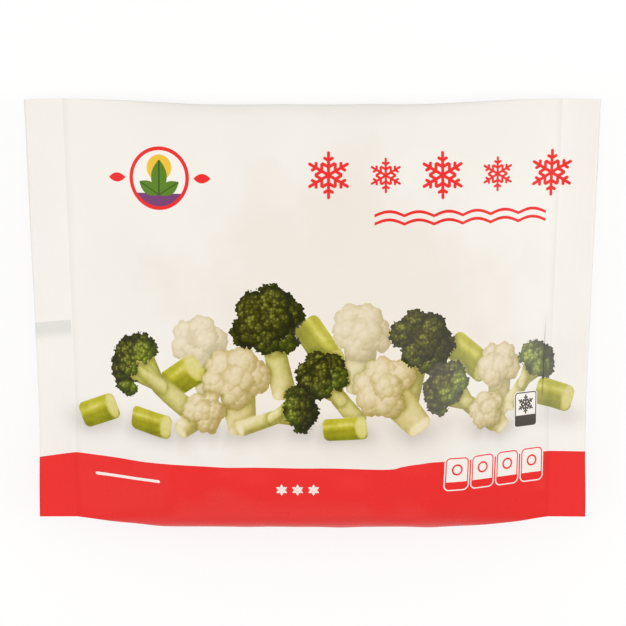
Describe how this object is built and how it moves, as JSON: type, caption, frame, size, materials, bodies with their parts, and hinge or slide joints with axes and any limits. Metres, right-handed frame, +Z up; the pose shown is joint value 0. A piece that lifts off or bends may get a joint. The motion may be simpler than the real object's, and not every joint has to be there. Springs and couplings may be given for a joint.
{
  "type": "frozen vegetable bag",
  "caption": "Shut pillow bag of film, wide and low, with a flat welded seal at each end and a filling that is thickest along its lower fold; lies on its back.",
  "frame": {"origin": "on the table, under the middle of the bag's outline", "axes": "+Z up out of the printed face, +Y towards the top edge of the bag, +X towards the end seal at the right of the printed face"},
  "size_m": [0.251, 0.189, 0.0452],
  "materials": {
    "printed_film": "white film with a satin sheen and a red printed band along the lower fold"
  },
  "bodies": {
    "root": {"bag": "printed_film"}
  },
  "joints": []
}
